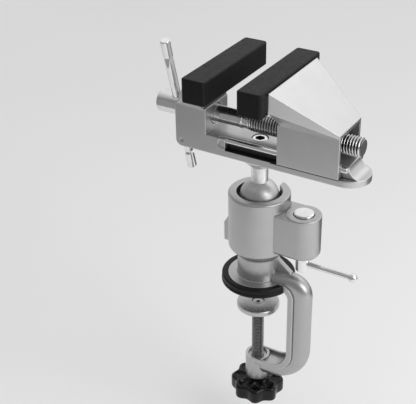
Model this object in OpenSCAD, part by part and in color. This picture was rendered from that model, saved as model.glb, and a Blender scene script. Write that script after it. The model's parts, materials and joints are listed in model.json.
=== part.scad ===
// Small bench vise with soft jaw pads, on a ball joint over a table clamp.
// X runs along the lead screw, Y across the jaws, Z up. The origin is the centre
// of the rubber foot pad's underside, where it stands on the table top.

/* [Jaws] */
// Width of the soft jaw pads
pad_w = 75; // [66:1:100]
// Height of the soft jaw pads
pad_h = 15; // [13:0.5:20]
// Depth of the soft jaw pads, from the gripping face back
pad_d = 15.7; // [14:0.1:20]
// Rubber between the gripping face and the cast nose inside it
pad_face = 5; // [3:0.5:7]
// Rubber above and below the cast nose
pad_lip = 2.2; // [1.5:0.1:3]
// Radius of the pads' upright edges
pad_r = 2; // [1:0.1:3]
// Width of the cast jaws behind the pads
jaw_w = 61; // [50:1:64]
// Gap between the gripping faces as the vise stands
jaw_gap = 20.3; // [5:0.1:40]
// Place along the screw of the fixed gripping face
fixed_grip_x = -15.8; // [-20:0.1:-12]
// Height of the pads' top over the bed plate's underside
jaw_top_h = 57.4; // [54:0.1:64]
// Length of the moving jaw's cast roof
roof_l = 37.6; // [30:0.1:50]
// Height of the roof's low end over the plate's underside
roof_low_h = 32.3; // [30:0.1:36]
// Wall of the hollow moving jaw
jaw_wall = 1.9; // [1.5:0.1:3]

/* [Bed] */
// Underside of the bed plate over the table top
plate_z = 90.8; // [84:0.1:100]
// Thickness of the bed plate
plate_t = 4.2; // [3:0.1:6]
// Width of the bed plate and of the fixed wall
bed_w = 26.6; // [26:0.1:28]
// Rear end of the bed
bed_rear_x = -51.9; // [-60:0.1:-48]
// Centre of the bed plate's round front end
nose_x = 58.6; // [54:0.1:66]
// Thickness of the fixed wall
wall_t = 21.6; // [16:0.1:24]
// Height of the fixed wall over the plate's underside
wall_h = 28.7; // [26:0.1:32]
// Height of the rail between the guide rods
rail_h = 11.8; // [10:0.1:13]
// Width of the rail between the guide rods
rail_w = 18; // [16:0.5:20]
// Length of the full width step in front of the wall
step_l = 13.3; // [8:0.1:20]
// Diameter of the guide rods
rod_d = 3.8; // [3:0.1:4]
// Distance between the guide rods' centres
rod_span = 20.6; // [20:0.1:21]

/* [Lead screw] */
// Height of the lead screw over the plate's underside
screw_h = 21.2; // [19:0.1:22]
// Outer diameter of the lead screw's thread
screw_d = 12; // [10:0.5:13]
// Length of one turn of the lead screw's thread
screw_turn_l = 1.75; // [1.5:0.25:3]
// Diameter of the plain shank
shank_d = 10.6; // [8:0.1:11]
// Place where the thread begins
thread_x = -8.5; // [-14:0.5:-2]
// Front end of the lead screw
screw_end_x = 66.5; // [62:0.5:72]
// Diameter of the screw's head
head_d = 13.8; // [12:0.1:16]
// Length of the screw's head
head_l = 17; // [14:0.5:22]
// Diameter of the sliding bar through the head
bar_d = 5.4; // [4:0.1:6]
// Length of the sliding bar with its caps
bar_l = 99.3; // [80:0.1:120]
// Distance of the sliding bar from the head's inner end
bar_in = 4.5; // [4:0.1:10]
// Tilt of the sliding bar from upright
bar_tilt = 15.3; // [0:0.1:40]
// How far the sliding bar's middle hangs below the screw
bar_drop = 2.2; // [0:0.1:12]

/* [Ball joint] */
// Diameter of the ball
ball_d = 25; // [20:0.5:26]
// Height of the ball's centre over the table top
ball_z = 62; // [58:0.5:66]
// Diameter of the stud's neck
neck_d = 10.6; // [9:0.1:12]
// Diameter of the stud's flange under the bed plate
flange_d = 24; // [20:0.5:26]
// Wall of the split collar round the ball
collar_t = 1.7; // [1.2:0.1:2]
// Outer diameter of the socket
socket_d = 39; // [38:0.5:44]
// Height of the socket's rim over the ball's centre
rim_h = 3.8; // [2:0.1:5]
// Half width of the slot that lets the neck lie flat
slot_half = 7.7; // [7:0.1:9]
// Distance from the ball to the lock bolt
lock_x = 31; // [30:0.1:34]
// Diameter of the lock boss
boss_d = 22.2; // [20:0.1:24]
// Top of the lock boss over the table top
boss_top_z = 58.1; // [56:0.1:60]
// Height of the lock boss
boss_h = 28.6; // [26:0.1:31]
// Diameter of the lock bolt
bolt_d = 5; // [4:0.1:6]
// Height of the brake pin over the table top
brake_z = 50; // [48:0.5:52]
// Diameter of the brake pin
brake_d = 7; // [5:0.5:8]
// Reach of the lock lever from the bolt to its ball
lever_l = 34.4; // [28:0.1:44]
// Diameter of the lock lever
lever_d = 3.6; // [3:0.1:4]
// Height of the lock lever over the table top
lever_z = 22.4; // [21:0.1:24]

/* [Table clamp] */
// Diameter of the column over the foot
column_d = 27.2; // [24:0.1:30]
// Diameter of the foot plate
foot_d = 39.6; // [36:0.1:44]
// Thickness of the foot plate and of the arm's inner strip
strip_t = 3.9; // [3:0.1:5]
// Outer diameter of the rubber foot pad
foot_pad_d = 48; // [46:0.5:52]
// Height of the rubber foot pad
foot_pad_h = 6.2; // [6:0.1:7]
// Rubber under the foot plate
foot_pad_floor = 2; // [1.5:0.1:3]
// Distance from the ball to the arm's inner face
arm_x = 25.3; // [25:0.1:32]
// Width of the arm's inner strip
strip_w = 16; // [14:0.5:18]
// Diameter of the arm's round back
rib_d = 13; // [11:0.5:14]
// Depth of the throat below the table top
throat_h = 61; // [50:1:80]
// Outer diameter of the clamp screw
clamp_d = 8; // [6:0.5:10]
// Length of one turn of the clamp screw's thread
clamp_turn_l = 1.25; // [1:0.25:2]
// Diameter of the clamp screw's boss
clamp_boss_d = 16.4; // [15:0.1:18]
// Height of the clamp screw's boss
clamp_boss_h = 18; // [14:0.5:22]
// Table thickness that the pad stands at
table_t = 18; // [15:0.5:45]
// Diameter of the pressure pad
press_d = 28; // [22:1:32]
// Diameter across the knob's lobes
knob_d = 36.2; // [30:0.1:44]
// Number of lobes on the knob
knob_lobes = 8; // [5:1:9]
// Height of the knob
knob_h = 11; // [9:0.5:16]

/* [Hidden] */
$fn = 72;

// Clearances and overruns shared by all pieces
fit = 0.05;
gap = 0.2;
over = 1;
sliver = 0.01;
half = 1 / 2;

// Colours
aluminium = "#a9abad";
cast_grey = "#9a9c9e";
chrome = "#d9dbde";
black_rubber = "#1c1c1e";
black_plastic = "#141416";

// Heights of the bed and the jaws
plate_top_z = plate_z + plate_t;
rail_top_z = plate_z + rail_h;
wall_top_z = plate_z + wall_h;
wall_front_x = bed_rear_x + wall_t;
step_x = wall_front_x + step_l;
screw_z = plate_z + screw_h;
jaw_top_z = plate_z + jaw_top_h;
pad_bottom_z = jaw_top_z - pad_h;
pad_step = 1.1;
shoulder_z = jaw_top_z - pad_step;
roof_low_z = plate_z + roof_low_h;
flank_h = 11.7;
flank_z = shoulder_z - flank_h;
skirt_gap = 0.6;
skirt_clear = 0.3;
skirt_w = rod_span + rod_d + 2 * (jaw_wall + skirt_clear);
skirt_z = plate_top_z + skirt_gap;
skirt_top_drop = 2;
skirt_rear_top_z = roof_low_z - skirt_top_drop;
nose_clear = 0.1;
nose_w = jaw_w - 2 * nose_clear;
nose_z = pad_bottom_z + pad_lip + nose_clear;
nose_top_z = jaw_top_z - pad_lip - nose_clear;
nose_h = nose_top_z - nose_z;
nose_l = pad_d - pad_face;
edge_step = 0.8;

// Places along the screw
moving_grip_x = fixed_grip_x + jaw_gap;
shoulder_x = moving_grip_x + pad_d + gap;
roof_end_x = shoulder_x + roof_l;
fixed_shoulder_x = fixed_grip_x - pad_d - gap;
skirt_lead = 1.8;
skirt_x = shoulder_x - skirt_lead;
shoulder_t = 3.4;
nut_l = 12;
nut_w = 16;
nut_x = shoulder_x + shoulder_t;
block_front = 3;
block_l = nut_l + block_front;

// Washer under the screw's head and the ring that keeps the screw in the wall
washer_t = 1.5;
ring_t = 1.2;
ring_x = wall_front_x - ring_t;

// Sliding bar, its necks and its caps
bar_x = bed_rear_x - washer_t - bar_in;
cap_l = 11.8;
cap_wide = 6.1;
bar_neck_l = 7;
bar_neck_d = 3.9;

// Guide rods and the lips that hold the jaw on them
rod_z = plate_z + rail_h - rod_d * half + gap * half;
rod_y = rod_span * half;
rod_seat_l = 5;
rod_over_nose = 3.4;
rod_end_x = nose_x + rod_over_nose;
lip_reach = 2.3;
lip_in = skirt_w * half - jaw_wall - lip_reach;
lip_w = skirt_w * half - jaw_wall * half - lip_in;
lip_top_z = rod_z - rod_d * half - gap;
ledge_z = rod_z + rod_d * half + gap;
ledge_t = 1.6;

// Front ramp of the rail
ramp_r = rail_h - plate_t;
ramp_x = rod_end_x;

// Stud, its screw and the sockets round the ball
ball_r = ball_d * half;
collar_r = ball_r + fit + collar_t;
socket_r = collar_r + gap;
socket_wall_r = socket_d * half;
rim_z = ball_z + rim_h;
rim_edge_r = 1.2;
collar_slant = 24;
waist_r = column_d * half;
draw_in_z = 20.5;
draw_in_h = 8;
draw_in_steps = 16;
foot_fillet = 0.5;
flange_t = 2.6;
cone_h = 6.7;
cap_screw_d = 6;
cap_head_d = 9.6;
cap_head_h = 6;
cap_key_d = 5.5;
cap_key_h = 3;
cap_sink = 0.4;
cap_bite = 12;
cap_head_z = rail_top_z - cap_sink - cap_head_h;

// Lock in the boss: wedge on the bolt, pin to the collar
boss_z = boss_top_z - boss_h;
boss_edge_r = 3;
boss_flat = boss_d * half - boss_edge_r;
bolt_head_d = 12.6;
bolt_head_h = 2.6;
bolt_proud = 1.1;
bolt_head_z = boss_top_z + bolt_proud - bolt_head_h;
chamber_r = 7;
bolt_seat_t = 2;
chamber_top_z = bolt_head_z - bolt_seat_t;
wedge_r = chamber_r - fit;
wedge_tip_r = bolt_d * half + 3 * gap;
wedge_body_z = brake_z - brake_d * half;
wedge_top_z = wedge_body_z + wedge_r - wedge_tip_r;
nut_d = 8.4;
nut_drop = 5;
nut_bottom_z = lever_z - nut_drop;
nut_top_z = boss_z + over;
lever_ball_d = 5.8;
lever_ball_sink = 1.2;
lug_x = 24.1;
lug_t = 6;
lug_z = 24.2;
lug_h = 21.8;
lug_slope_share = 0.6;

// Foot, arm and rubber foot pad
foot_z = foot_pad_floor;
foot_top_z = foot_z + strip_t;
arm_back_x = arm_x + strip_t;
rib_r = rib_d * half;
rib_set = 3;
rib_x = arm_back_x + rib_set;
rib_sink = 1;
rib_top_z = foot_top_z - rib_sink;
rib_bend = 8;
rib_low_bend = 22;
arm_bend = 6;
arm_low_bend = 13;
arm_low_z = -throat_h;
rib_low_z = arm_low_z - strip_t - rib_set;
dish_h = 2.5;
dish_w = 12.8;
gusset_t = 3.5;
gusset_h = 15;

// Clamp screw, pad and knob
pad_face_z = -table_t;
press_t = 4;
press_hub_d = 13;
press_hub_h = 4;
clamp_top_z = pad_face_z - press_t - press_hub_h + clamp_d * half;
boss_drop = 5.1;
clamp_boss_z = rib_low_z - rib_r - boss_drop;
knob_gap = 2.9;
knob_top_z = clamp_boss_z - knob_gap;
knob_z = knob_top_z - knob_h;
knob_wave = 1.25;
knob_hub_d = 15;
knob_hub_rise = 0.5;

// Screw thread as a stack of even ridges, drawn as half an outline to spin
function ridge_points(r, pitch, depth, length) = [
  for (k = [0 : floor(length / pitch) - 1])
    for (p = [[0, 0], [1 / 8, 1], [3 / 8, 1], [1 / 2, 0]])
      [r - depth + depth * p[1], k * pitch + pitch * p[0]]];

module ridged_rod(r, pitch, depth, length) {
  rotate_extrude()
    polygon(concat([[0, 0]], ridge_points(r, pitch, depth, length), [[r - depth, length], [0, length]]));
}

// Cylinder lying along X, from x on
module x_rod(r, x, l, y, z) {
  translate([x, y, z])
    rotate([0, 90, 0])
      cylinder(r = r, h = l);
}

// Upright box between two corners
module span_box(low, high) {
  translate(low)
    cube(high - low);
}

// Box with round upright edges
module round_box(low, high, r) {
  span_box([low[0] + r, low[1], low[2]], [high[0] - r, high[1], high[2]]);
  span_box([low[0], low[1] + r, low[2]], [high[0], high[1] - r, high[2]]);
  for (x = [low[0] + r, high[0] - r])
    for (y = [low[1] + r, high[1] - r])
      translate([x, y, low[2]])
        cylinder(r = r, h = high[2] - low[2]);
}

// Cylinder whose top edge is rounded
module round_top(r, edge, h) {
  cylinder(r = r, h = h - edge);
  cylinder(r = r - edge, h = h);
  translate([0, 0, h - edge])
    rotate_extrude()
      translate([r - edge, 0])
        circle(r = edge, $fn = 32);
}

// One cross section of a cast jaw: a roof, two flanks and two slanting undersides
module jaw_slice(x, roof_half, flank_half, roof_z, low_z, keel_half, keel_z) {
  translate([x, 0, 0])
    rotate([90, 0, 90])
      linear_extrude(sliver)
        polygon([
          [-keel_half, keel_z], [keel_half, keel_z], [flank_half, low_z], [roof_half, roof_z],
          [-roof_half, roof_z], [-flank_half, low_z]]);
}

// Rounded profile of the throat, from the rear to x, with its two inner corners
module throat_outline(x, top_z, low_z, top_r, low_r) {
  difference() {
    translate([0, low_z])
      square([x, top_z - low_z]);
    difference() {
      translate([x - top_r, top_z - top_r])
        square(top_r + over);
      translate([x - top_r, top_z - top_r])
        circle(r = top_r);
    }
    difference() {
      translate([x - low_r, low_z - over])
        square(low_r + over);
      translate([x - low_r, low_z + low_r])
        circle(r = low_r);
    }
  }
}

// Outline in the XZ plane drawn out to both sides of the middle
module xz_slab(width) {
  translate([0, width * half, 0])
    rotate([90, 0, 0])
      linear_extrude(width)
        children();
}

// Round back of the arm in the middle of the strip, with its two bends
module arm_back() {
  upper = [rib_x - rib_bend, 0, rib_top_z - rib_bend];
  lower = [rib_x - rib_low_bend, 0, rib_low_z + rib_low_bend];
  x_rod(rib_r, 0, upper[0], 0, rib_top_z);
  x_rod(rib_r, 0, lower[0], 0, rib_low_z);
  translate([rib_x, 0, lower[2]])
    cylinder(r = rib_r, h = upper[2] - lower[2]);
  for (bend = [[upper, 90, rib_bend], [lower, -90, rib_low_bend]])
    translate(bend[0])
      rotate([bend[1], 0, 0])
        rotate_extrude(angle = 90)
          translate([bend[2], 0])
            circle(r = rib_r);
  xz_slab(rib_d)
    throat_outline(rib_x, rib_top_z, rib_low_z, rib_bend, rib_low_bend);
}

module foot_and_arm() {
  difference() {
    union() {
      xz_slab(strip_w)
        throat_outline(arm_back_x, foot_top_z, arm_low_z - strip_t, arm_bend + strip_t, arm_low_bend + strip_t);
      arm_back();
    }
    translate([-over, 0, 0])
      xz_slab(foot_d)
        throat_outline(arm_x + over, foot_z, arm_low_z, arm_bend, arm_low_bend);
    translate([-over, 0, 0])
      xz_slab(dish_w)
        throat_outline(arm_x + over, foot_z, arm_low_z - dish_h, arm_bend, arm_low_bend);
  }
}

// Socket that draws in to the column with an S-curve
module socket_outside() {
  draw_in_points = [
    for (k = [0 : draw_in_steps])
      [waist_r + (socket_wall_r - waist_r) * (1 - cos(180 * k / draw_in_steps)) * half,
        draw_in_z + draw_in_h * k / draw_in_steps]];
  rotate_extrude()
    polygon(concat(
      [[0, foot_z], [waist_r + foot_fillet, foot_z], [waist_r + foot_fillet, foot_top_z],
        [waist_r, foot_top_z + foot_fillet]],
      draw_in_points, [[0, draw_in_z + draw_in_h]]));
  translate([0, 0, draw_in_z + draw_in_h - sliver])
    round_top(socket_wall_r, rim_edge_r, rim_z - draw_in_z - draw_in_h + sliver);
}

module boss_outside() {
  translate([lock_x, 0, boss_z + boss_edge_r]) {
    round_top(boss_d * half, rim_edge_r * half, boss_h - boss_edge_r);
    rotate_extrude()
      translate([boss_d * half - boss_edge_r, 0])
        circle(r = boss_edge_r, $fn = 32);
  }
  translate([lock_x, 0, boss_z])
    cylinder(d = boss_d - 2 * boss_edge_r, h = boss_edge_r + over);
  span_box([0, -boss_d * half, boss_z + boss_edge_r], [lock_x, boss_d * half, boss_top_z - rim_edge_r * half]);
  // underside of the web between the socket and the boss
  for (side = [-1, 1])
    x_rod(boss_edge_r, 0, lock_x, side * boss_flat, boss_z + boss_edge_r);
  span_box([0, -boss_flat, boss_z], [lock_x, boss_flat, boss_z + boss_edge_r + over]);
}

module clamp_frame() {
  color(cast_grey)
    difference() {
      union() {
        translate([0, 0, foot_z])
          cylinder(d = foot_d, h = strip_t);
        foot_and_arm();
        socket_outside();
        boss_outside();
        translate([0, 0, clamp_boss_z])
          cylinder(d = clamp_boss_d, h = clamp_boss_h);
        // rib behind the socket
        translate([-lug_x, -lug_t * half, lug_z])
          cube([lug_x, lug_t, lug_h]);
        // gusset from the column to the arm
        xz_slab(gusset_t)
          polygon([
            [0, foot_top_z], [rib_x - rib_bend, foot_top_z], [rib_x - rib_bend, foot_top_z + rib_r],
            [waist_r, foot_top_z + gusset_h], [0, foot_top_z + gusset_h]]);
      }
      // socket
      translate([0, 0, ball_z])
        sphere(r = socket_r);
      translate([0, 0, ball_z])
        cylinder(r = socket_r, h = rim_h + over);
      // slot towards the back for the neck
      translate([0, 0, ball_z])
        rotate([-90, 0, 0])
          cylinder(r = slot_half, h = socket_wall_r + over);
      span_box([-slot_half, 0, ball_z], [slot_half, socket_wall_r + over, rim_z + over]);
      // brake pin bore, wedge chamber and bolt hole
      x_rod(brake_d * half + fit, 0, lock_x, 0, brake_z);
      translate([lock_x, 0, boss_z - over])
        cylinder(r = chamber_r, h = chamber_top_z - boss_z + over);
      translate([lock_x, 0, boss_z])
        cylinder(d = bolt_d + gap, h = boss_h + over);
      translate([lock_x, 0, bolt_head_z])
        cylinder(d = bolt_head_d + 4 * gap, h = boss_h);
      // slanting top of the rib behind the socket
      translate([-lug_x, -lug_t, lug_z + lug_h * lug_slope_share])
        rotate([0, -60, 0])
          cube([lug_h, 2 * lug_t, lug_h]);
      // clamp screw bore and the dish round it
      translate([0, 0, clamp_boss_z - over])
        cylinder(d = clamp_d + 2 * fit, h = throat_h);
      translate([0, 0, arm_low_z - dish_h])
        cylinder(d = dish_w, h = throat_h * half);
    }
}

module foot_pad() {
  color(black_rubber)
    difference() {
      round_top(foot_pad_d * half, over, foot_pad_h);
      translate([0, 0, foot_pad_floor])
        cylinder(d = foot_d + 2 * fit, h = foot_pad_h);
      // clear of the arm
      span_box([foot_d * 0.45, -strip_w * half - gap, -over], [foot_pad_d, strip_w * half + gap, foot_pad_h + over]);
      span_box([0, -strip_w * half - gap, foot_pad_floor], [foot_pad_d, strip_w * half + gap, foot_pad_h + over]);
    }
}

module ball_collar() {
  color(black_plastic)
    translate([0, 0, ball_z])
      difference() {
        sphere(r = collar_r);
        sphere(r = ball_r + fit);
        translate([-ball_d, -ball_d, rim_h - over])
          cube(2 * ball_d);
        translate([-ball_d, -ball_d, -2 * ball_d - ball_r * 3 / 4])
          cube(2 * ball_d);
        // sides cut low so that they stay inside the socket when the ball rolls
        for (side = [0, 180])
          rotate([0, 0, side])
            translate([0, -ball_d, rim_h - over])
              rotate([0, collar_slant, 0])
                cube([2 * ball_d, 2 * ball_d, ball_d]);
        // slot for the neck
        rotate([-90, 0, 0])
          cylinder(r = slot_half - over, h = ball_d);
        span_box([over - slot_half, 0, 0], [slot_half - over, ball_d, ball_d]);
      }
}

module ball_stud() {
  color(chrome)
    difference() {
      union() {
        translate([0, 0, ball_z])
          sphere(r = ball_r);
        translate([0, 0, ball_z])
          cylinder(d = neck_d, h = plate_z - ball_z);
        translate([0, 0, plate_z - flange_t])
          cylinder(d = flange_d, h = flange_t);
        translate([0, 0, plate_z - flange_t - cone_h])
          cylinder(d1 = neck_d, d2 = flange_d, h = cone_h);
      }
      translate([0, 0, plate_z - cap_bite - over])
        cylinder(d = cap_screw_d + 2 * fit, h = cap_bite + 2 * over);
    }
}

module stud_screw() {
  color(chrome)
    difference() {
      union() {
        translate([0, 0, cap_head_z])
          cylinder(d = cap_head_d, h = cap_head_h);
        translate([0, 0, plate_z - cap_bite])
          cylinder(d = cap_screw_d, h = cap_head_z - plate_z + cap_bite + sliver);
      }
      translate([0, 0, cap_head_z + cap_head_h - cap_key_h])
        cylinder(d = cap_key_d, h = cap_key_h + over, $fn = 6);
    }
}

module lock_bolt() {
  color(chrome)
    translate([lock_x, 0, 0]) {
      translate([0, 0, bolt_head_z])
        round_top(bolt_head_d * half, over * half, bolt_head_h);
      translate([0, 0, nut_bottom_z + over])
        cylinder(d = bolt_d, h = bolt_head_z - nut_bottom_z);
    }
}

module lock_wedge() {
  color(chrome)
    translate([lock_x, 0, 0])
      difference() {
        union() {
          translate([0, 0, nut_top_z])
            cylinder(r = wedge_r, h = wedge_body_z - nut_top_z);
          translate([0, 0, wedge_body_z])
            cylinder(r1 = wedge_r, r2 = wedge_tip_r, h = wedge_top_z - wedge_body_z);
        }
        translate([0, 0, nut_top_z - over])
          cylinder(d = bolt_d + 2 * fit, h = wedge_top_z);
      }
}

module brake_pin() {
  color(chrome)
    difference() {
      x_rod(brake_d * half, ball_r * half, lock_x - wedge_tip_r - ball_r * half, 0, brake_z);
      translate([0, 0, ball_z])
        sphere(r = collar_r + fit);
      // slanting end that the wedge pushes on
      translate([lock_x, 0, 0])
        rotate_extrude()
          polygon([
            [0, wedge_body_z - over], [wedge_r + fit + over, wedge_body_z - over],
            [wedge_tip_r + fit, wedge_top_z], [0, wedge_top_z]]);
    }
}

module lock_nut() {
  color(chrome)
    translate([lock_x, 0, 0])
      difference() {
        translate([0, 0, nut_bottom_z])
          cylinder(d = nut_d, h = nut_top_z - nut_bottom_z);
        translate([0, 0, nut_bottom_z - over])
          cylinder(d = bolt_d + 2 * fit, h = nut_top_z);
        x_rod(lever_d * half + sliver, 0, nut_d, 0, lever_z);
      }
}

module lock_lever() {
  lever_start = bolt_d * half + 4 * fit;
  color(chrome)
    x_rod(lever_d * half, lock_x + lever_start, lever_l - lever_start - lever_ball_sink, 0, lever_z);
}

module lever_ball() {
  color(chrome)
    translate([lock_x + lever_l, 0, lever_z])
      rotate([0, 90, 0])
        difference() {
          sphere(d = lever_ball_d);
          translate([0, 0, -lever_ball_d])
            cylinder(d = lever_d + 2 * sliver, h = lever_ball_d - lever_ball_sink + sliver);
        }
}

module clamp_screw() {
  color(chrome)
    difference() {
      union() {
        translate([0, 0, knob_z + knob_h * half])
          ridged_rod(clamp_d * half, clamp_turn_l, clamp_turn_l * half, clamp_top_z - knob_z - knob_h * half);
        translate([0, 0, clamp_top_z - sliver])
          cylinder(d = clamp_d * 3 / 4, h = press_t * half);
      }
      translate([0, 0, clamp_top_z - clamp_d])
        cylinder(d = clamp_d * 3 / 8, h = 3 * clamp_d);
    }
}

module pressure_pad() {
  color(chrome)
    difference() {
      union() {
        translate([0, 0, pad_face_z - press_t])
          cylinder(d = press_d, h = press_t);
        translate([0, 0, pad_face_z - press_t - press_hub_h])
          cylinder(d = press_hub_d, h = press_hub_h + sliver);
      }
      translate([0, 0, pad_face_z - press_t - press_hub_h - over])
        cylinder(d = clamp_d * 3 / 4 + 2 * fit, h = press_hub_h + over + clamp_d * half);
      translate([0, 0, clamp_top_z])
        cylinder(d = clamp_d * 3 / 8 + gap, h = press_t * 3);
      translate([0, 0, pad_face_z - press_t * half])
        cylinder(d = clamp_d, h = press_t);
      translate([0, 0, pad_face_z - press_t - press_hub_h - over])
        cylinder(d = clamp_d + 2 * gap, h = over + clamp_top_z - pad_face_z + press_t + press_hub_h);
    }
}

module pad_screw() {
  color(chrome) {
    translate([0, 0, pad_face_z - press_t * half + fit])
      cylinder(d = clamp_d - gap, h = press_t * half - 4 * gap);
    translate([0, 0, clamp_top_z - clamp_d * 3 / 4])
      cylinder(d = clamp_d * 3 / 8 - 2 * fit, h = pad_face_z - press_t * half - clamp_top_z + clamp_d * 3 / 4 + 2 * fit);
  }
}

module clamp_knob() {
  wave_points = [
    for (k = [0 : knob_lobes * 16 - 1])
      let (a = k * 360 / (knob_lobes * 16), r = knob_d * half - knob_wave - knob_wave * cos(knob_lobes * a))
        [r * cos(a), r * sin(a)]];
  color(black_plastic)
    difference() {
      union() {
        translate([0, 0, knob_z])
          linear_extrude(knob_h)
            polygon(wave_points);
        translate([0, 0, knob_z])
          cylinder(d = knob_hub_d, h = knob_h + knob_hub_rise);
      }
      // pockets in the lobes
      for (k = [0 : knob_lobes - 1])
        rotate([0, 0, (k + half) * 360 / knob_lobes])
          translate([knob_d * half - 2 * knob_wave - knob_hub_d / 6, 0, knob_top_z - knob_h / 3])
            cylinder(d = knob_hub_d / 3, h = knob_h);
      translate([0, 0, knob_z + knob_h * half - fit])
        cylinder(d = clamp_d + 2 * fit, h = knob_h * 2);
    }
}

module jaw_nose(x) {
  span_box([x, -nose_w * half, nose_z], [x + nose_l + over, nose_w * half, nose_top_z]);
}

module vise_body() {
  color(aluminium)
    difference() {
      union() {
        // plate with its round front end
        span_box([bed_rear_x, -bed_w * half, plate_z], [nose_x, bed_w * half, plate_top_z]);
        translate([nose_x, 0, plate_z])
          cylinder(d = bed_w, h = plate_t);
        // fixed wall and the step before it
        span_box([bed_rear_x, -bed_w * half, plate_z], [wall_front_x, bed_w * half, wall_top_z]);
        span_box([wall_front_x - over, -bed_w * half, plate_z], [step_x, bed_w * half, rail_top_z]);
        // rail with its ramp, which ends inside the plate's round end
        intersection() {
          span_box([step_x - over, -rail_w * half, plate_z], [ramp_x + ramp_r, rail_w * half, rail_top_z]);
          union() {
            span_box([bed_rear_x, -bed_w * half, plate_z], [nose_x, bed_w * half, rail_top_z]);
            translate([nose_x, 0, plate_z])
              cylinder(d = bed_w - gap, h = rail_h);
          }
        }
        // fixed jaw flaring up to the pad
        hull() {
          jaw_slice(fixed_shoulder_x - sliver, jaw_w * half, jaw_w * half, shoulder_z, flank_z,
            bed_w * half, wall_top_z - over);
          jaw_slice(bed_rear_x + over, bed_w * half - edge_step, bed_w * half - edge_step, wall_top_z + sliver,
            wall_top_z, bed_w * half - edge_step, wall_top_z - over);
        }
        jaw_nose(fixed_shoulder_x - over);
      }
      // ramp
      translate([ramp_x + ramp_r, bed_w, plate_top_z + ramp_r])
        rotate([90, 0, 0])
          cylinder(r = ramp_r, h = 2 * bed_w);
      // rounded lower rear edge
      difference() {
        span_box([bed_rear_x - over, -bed_w, plate_z - over], [bed_rear_x + plate_t, bed_w, plate_z + plate_t]);
        translate([bed_rear_x + plate_t, bed_w, plate_z + plate_t])
          rotate([90, 0, 0])
            cylinder(r = plate_t, h = 2 * bed_w);
      }
      // lead screw bore
      x_rod(shank_d * half + fit, bed_rear_x - over, wall_t + 2 * over, 0, screw_z);
      // recess for the retaining ring
      x_rod(head_d * half + gap, ring_x - gap * half, wall_t, 0, screw_z);
      // guide rod seats
      for (side = [-1, 1])
        x_rod(rod_d * half + sliver, step_x - rod_seat_l, rod_end_x - step_x + rod_seat_l + over, side * rod_y, rod_z);
      // stud screw hole
      translate([0, 0, plate_z - over])
        cylinder(d = cap_screw_d + 2 * gap, h = rail_h + 2 * over);
      translate([0, 0, cap_head_z])
        cylinder(d = cap_head_d + 4 * gap, h = rail_h);
      // round casting marks on the near side
      for (mark = [[step_x - over * 2, plate_z + plate_t * 2, plate_t * 0.7], [bed_rear_x + plate_t, plate_z + plate_t, plate_t / 3]])
        translate([mark[0], gap * 2 - bed_w * half, mark[1]])
          rotate([90, 0, 0])
            cylinder(r = mark[2], h = over);
    }
}

module guide_rods() {
  color(chrome)
    for (side = [-1, 1])
      x_rod(rod_d * half, step_x - rod_seat_l + gap, rod_end_x - step_x + rod_seat_l, side * rod_y, rod_z);
}

module jaw_pad(x, facing) {
  low = [0, -pad_w * half, pad_bottom_z];
  high = [pad_d, pad_w * half, jaw_top_z];
  color(black_rubber)
    translate([x, 0, 0])
      mirror([facing, 0, 0])
        difference() {
          round_box(low, high, pad_r);
          span_box([pad_face, -jaw_w * half, pad_bottom_z + pad_lip], [pad_d + over, jaw_w * half, jaw_top_z - pad_lip]);
        }
}

module fixed_jaw_pad() {
  jaw_pad(fixed_grip_x, 1);
}

module moving_jaw_pad() {
  jaw_pad(moving_grip_x, 0);
}

module moving_jaw() {
  skirt_half = skirt_w * half;
  inside_half = skirt_half - jaw_wall;
  color(aluminium)
    difference() {
      union() {
        difference() {
          union() {
            // roof with flaring flanks
            hull() {
              jaw_slice(shoulder_x, jaw_w * half - edge_step, jaw_w * half - edge_step, shoulder_z - edge_step,
                flank_z + edge_step, skirt_half, skirt_rear_top_z);
              jaw_slice(shoulder_x + edge_step, jaw_w * half, jaw_w * half, shoulder_z, flank_z, skirt_half,
                skirt_rear_top_z);
              jaw_slice(roof_end_x - sliver, skirt_half, skirt_half, roof_low_z, roof_low_z - edge_step,
                skirt_half, skirt_rear_top_z);
            }
            // skirt
            span_box([skirt_x, -skirt_half, skirt_z], [roof_end_x, skirt_half, skirt_rear_top_z + sliver]);
          }
          // hollow under the roof
          hull() {
            jaw_slice(shoulder_x + shoulder_t, jaw_w * half - 2 * jaw_wall, jaw_w * half - 2 * jaw_wall,
              shoulder_z - 2 * jaw_wall, flank_z + jaw_wall, inside_half, skirt_rear_top_z - over);
            jaw_slice(roof_end_x + over, inside_half, inside_half, roof_low_z - jaw_wall - over,
              roof_low_z - jaw_wall - 2 * over, inside_half, skirt_rear_top_z - 2 * over);
          }
          // hollow inside the skirt
          span_box([skirt_x - over, -inside_half, skirt_z - over],
            [roof_end_x + over, inside_half, skirt_rear_top_z - over * half]);
        }
        // lips under the guide rods and ledges over them
        for (side = [-1, 1]) {
          span_box([skirt_x, side * (lip_in + lip_w * half) - lip_w * half, skirt_z],
            [roof_end_x, side * (lip_in + lip_w * half) + lip_w * half, lip_top_z]);
          span_box([skirt_x, side * (lip_in + lip_w * half) - lip_w * half, ledge_z],
            [roof_end_x, side * (lip_in + lip_w * half) + lip_w * half, ledge_z + ledge_t]);
        }
        // block for the nut
        span_box([nut_x, -inside_half - sliver, ledge_z], [nut_x + block_l, inside_half + sliver, screw_z + nut_w * half + jaw_wall]);
        // nose inside the pad
        mirror([1, 0, 0])
          jaw_nose(-shoulder_x - over);
      }
      // seat for the nut and a passage for the screw
      span_box([nut_x - over, -nut_w * half - fit, screw_z - nut_w * half - fit],
        [nut_x + nut_l + fit, nut_w * half + fit, screw_z + nut_w * half + fit]);
      x_rod(screw_d * half + gap, moving_grip_x, roof_l * 2, 0, screw_z);
    }
}

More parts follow.
